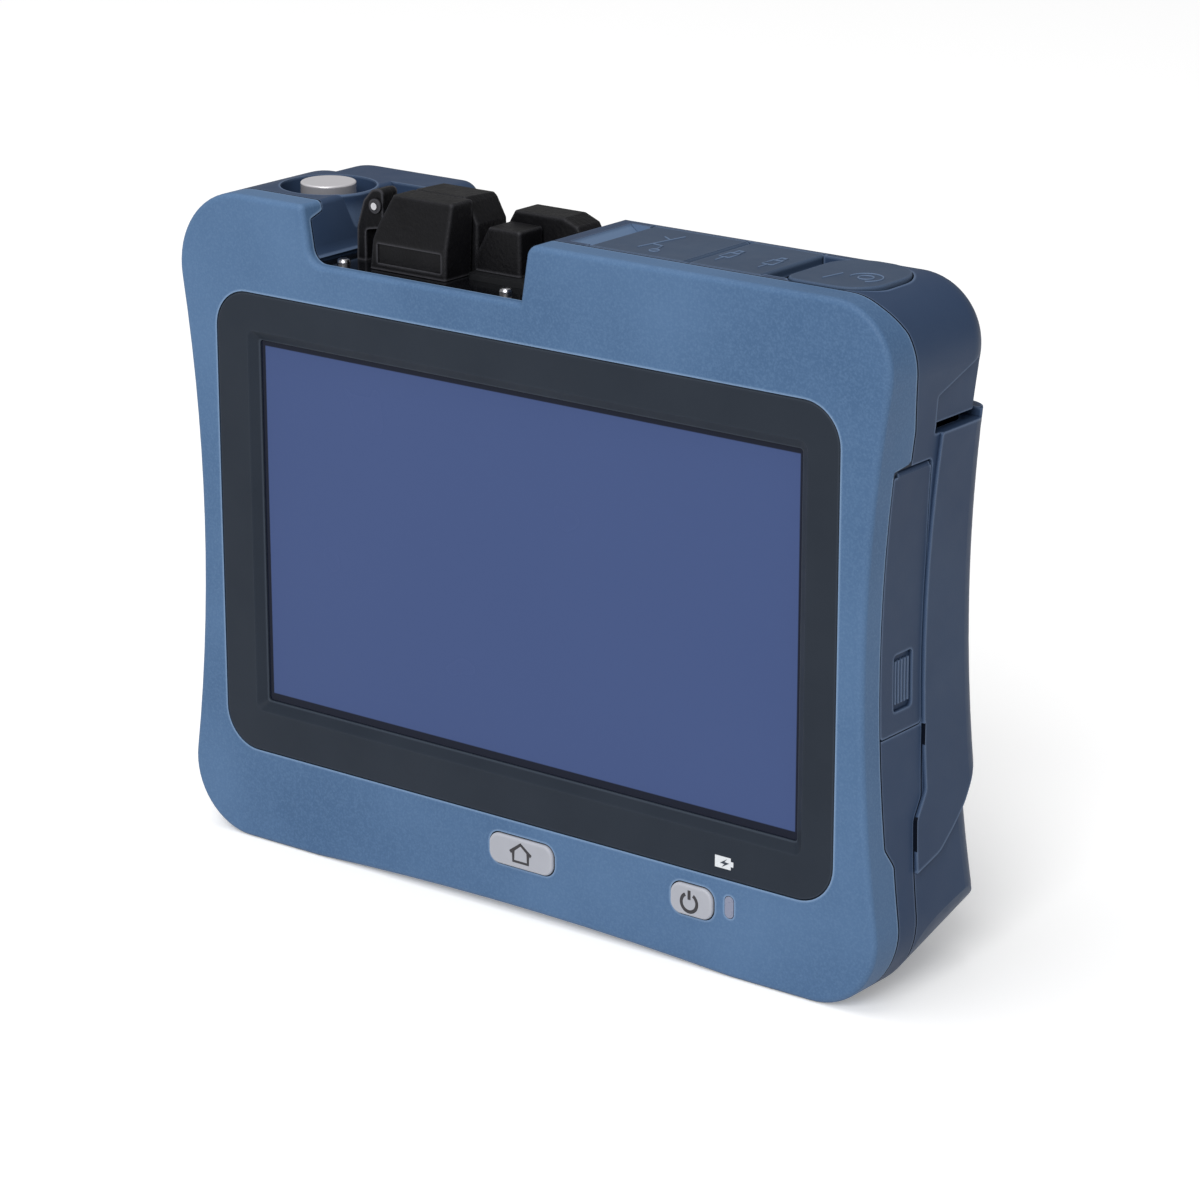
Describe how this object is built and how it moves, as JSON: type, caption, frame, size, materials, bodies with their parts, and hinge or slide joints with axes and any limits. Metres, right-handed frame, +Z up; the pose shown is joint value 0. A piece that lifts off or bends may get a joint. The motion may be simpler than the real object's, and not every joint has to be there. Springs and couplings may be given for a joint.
{
  "type": "optical time domain reflectometer",
  "caption": "Tablet-style handheld optical fibre tester with a framed touch screen, keys below it, capped fibre ports, hinged port flaps, a battery door and a rear kickstand.",
  "frame": {"origin": "middle of the bottom, on the surface that the instrument stands on", "axes": "+X to the right seen from the front, +Y from the screen towards the back, +Z up"},
  "size_m": [0.2009, 0.068, 0.1634],
  "materials": {
    "blue_shell": "satin",
    "navy_shell": "matte",
    "charcoal_frame": "satin",
    "touch_sheet": "gloss",
    "display": "gloss",
    "grey_button": "satin",
    "lens": "gloss",
    "board": "matte",
    "ceramic_port": "brushed",
    "black_cap": "textured",
    "black_plate": "matte",
    "silver_metal": "satin",
    "bright_screw": "brushed",
    "jack_shell": "matte",
    "battery_wrap": "matte",
    "chassis_metal": "satin",
    "module_case": "satin",
    "rubber_pad": "matte"
  },
  "bodies": {
    "case": {"front_shell": "blue_shell", "screen_bezel": "charcoal_frame", "touch_panel": "touch_sheet", "display_module": "display", "status_led_lens": "lens", "keypad_board": "board", "middle_frame": "charcoal_frame", "rear_shell": "navy_shell", "otdr_port": "ceramic_port", "filtered_port": "ceramic_port", "fault_locator_port": "ceramic_port", "source_port": "ceramic_port", "connector_plate": "black_plate", "plate_screws": "bright_screw", "cap_bracket": "black_cap", "cap_bracket_pin": "bright_screw", "detector_port": "black_plate", "ethernet_jack": "jack_shell", "usb_jack_front": "jack_shell", "usb_jack_rear": "jack_shell", "power_jack": "jack_shell", "port_board": "board", "battery_tray": "black_plate", "battery_pack": "battery_wrap", "inner_chassis": "chassis_metal", "main_board": "board", "optical_module": "module_case", "kickstand_pin": "bright_screw", "case_screws": "bright_screw"},
    "home_button": {"home_button": "grey_button"},
    "power_button": {"power_button": "grey_button"},
    "detector_cap": {"detector_cap": "silver_metal"},
    "otdr_cap": {"otdr_cap": "black_cap"},
    "filtered_cap": {"filtered_cap": "black_cap"},
    "fault_locator_cap": {"fault_locator_cap": "black_cap"},
    "source_cap": {"source_cap": "black_cap"},
    "ethernet_flap": {"ethernet_flap": "navy_shell"},
    "usb_flap": {"usb_flap": "navy_shell"},
    "power_cover": {"power_cover": "navy_shell"},
    "side_door": {"side_door": "navy_shell"},
    "kickstand": {"kickstand": "navy_shell", "kickstand_pad": "rubber_pad"}
  },
  "joints": [
    {"name": "home_press", "type": "slide", "parent": "case", "child": "home_button", "axis": [0, 1, 0], "range_m": [0, 0.0008], "stiffness_N_per_m": 1500, "springref_m": -0.0005},
    {"name": "power_press", "type": "slide", "parent": "case", "child": "power_button", "axis": [0, 1, 0], "range_m": [0, 0.0008], "stiffness_N_per_m": 1500, "springref_m": -0.0005},
    {"name": "detector_cap_lift", "type": "slide", "parent": "case", "child": "detector_cap", "axis": [0, 0, 1], "range_m": [0, 0.012]},
    {"name": "otdr_cap_pull", "type": "slide", "parent": "case", "child": "otdr_cap", "axis": [0, 0, 1], "range_m": [0, 0.02]},
    {"name": "filtered_cap_pull", "type": "slide", "parent": "case", "child": "filtered_cap", "axis": [0, 0, 1], "range_m": [0, 0.02]},
    {"name": "fault_locator_cap_pull", "type": "slide", "parent": "case", "child": "fault_locator_cap", "axis": [0, 0, 1], "range_m": [0, 0.015]},
    {"name": "source_cap_pull", "type": "slide", "parent": "case", "child": "source_cap", "axis": [0, 0, 1], "range_m": [0, 0.018]},
    {"name": "ethernet_flap_hinge", "type": "hinge", "parent": "case", "child": "ethernet_flap", "pos_m": [0.04105, -0.0132, 0.1585], "axis": [0, 1, 0], "range_deg": [0, 85]},
    {"name": "usb_flap_hinge", "type": "hinge", "parent": "case", "child": "usb_flap", "pos_m": [0.04315, -0.0132, 0.1585], "axis": [0, -1, 0], "range_deg": [0, 85]},
    {"name": "power_cover_pull", "type": "slide", "parent": "case", "child": "power_cover", "axis": [0, 0, 1], "range_m": [0, 0.012]},
    {"name": "side_door_hinge", "type": "hinge", "parent": "case", "child": "side_door", "pos_m": [0.09633, -0.0182, 0.12075], "axis": [0, -1, 0], "range_deg": [0, 50]},
    {"name": "kickstand_hinge", "type": "hinge", "parent": "case", "child": "kickstand", "pos_m": [0, 0.0324, 0.096], "axis": [1, 0, 0], "range_deg": [0, 50]}
  ]
}
